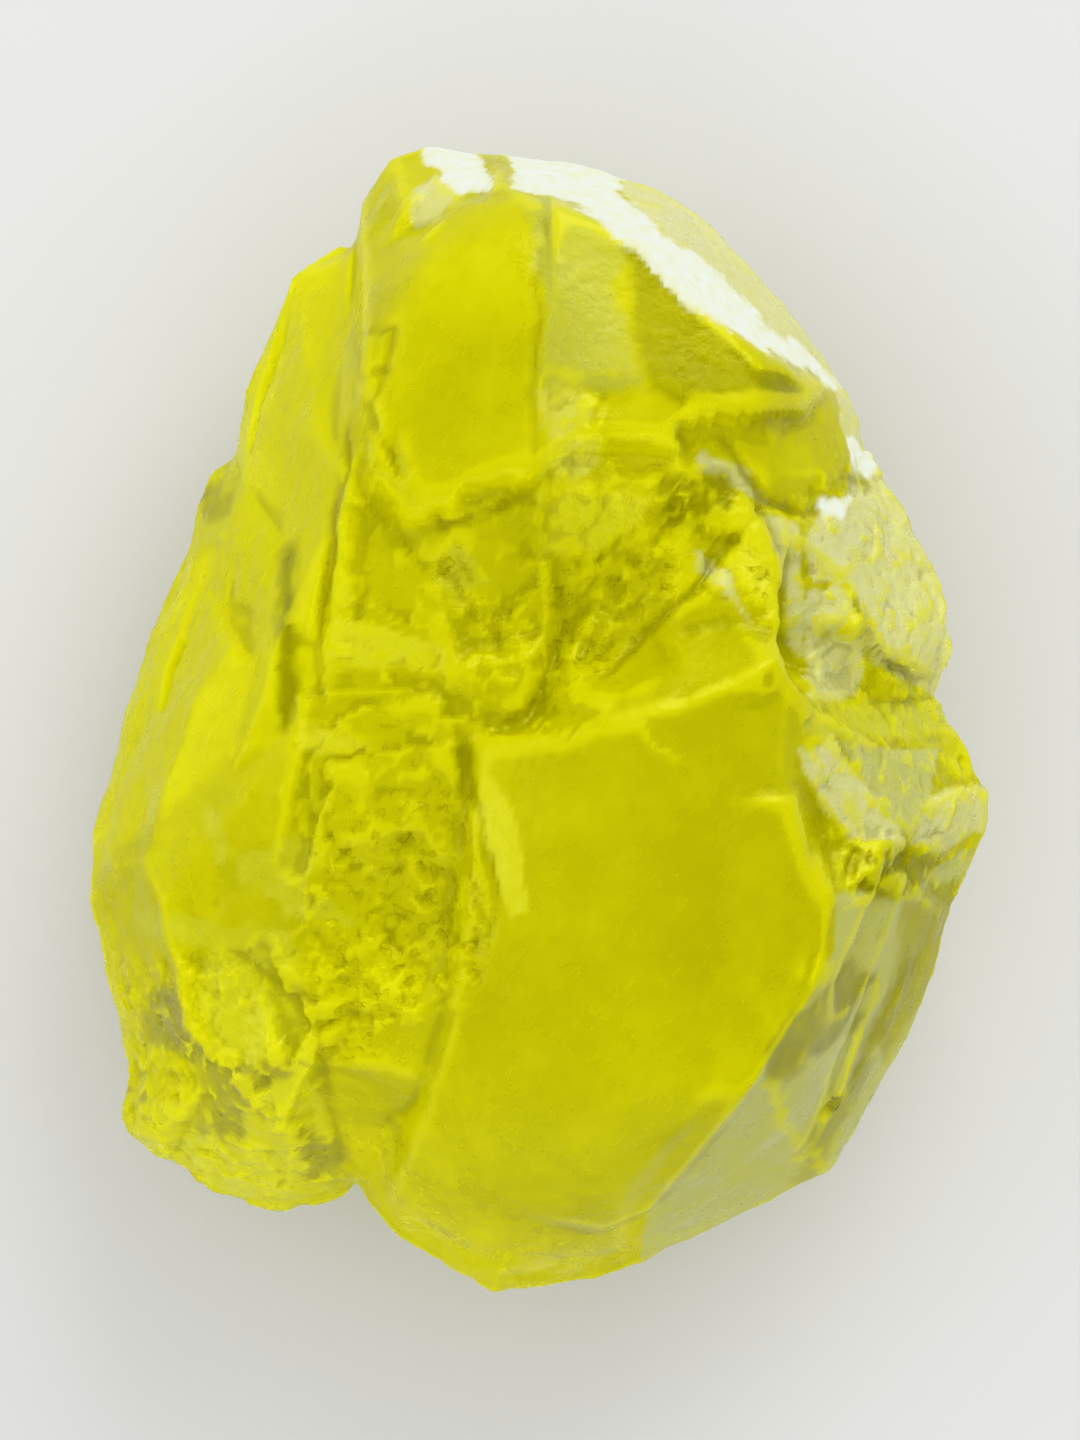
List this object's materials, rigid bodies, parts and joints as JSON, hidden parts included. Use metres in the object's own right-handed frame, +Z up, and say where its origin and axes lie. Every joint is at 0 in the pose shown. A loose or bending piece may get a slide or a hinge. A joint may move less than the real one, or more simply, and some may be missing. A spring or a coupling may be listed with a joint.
{
  "type": "native sulfur crystal",
  "caption": "Rough translucent yellow native sulfur crystal, grown-together faceted blocks with a broken front, lying on its back.",
  "frame": {"origin": "middle of the crystal's outline, on the surface that it rests on", "axes": "+Y along the crystal to its pointed tip, +Z up, away from the face that it rests on, towards its broken front, +X to the right seen from the front"},
  "size_m": [0.0394, 0.05, 0.025],
  "materials": {
    "sulfur": "translucent resinous yellow, frosted where broken"
  },
  "bodies": {
    "root": {"sulfur_crystal": "sulfur"}
  },
  "joints": []
}
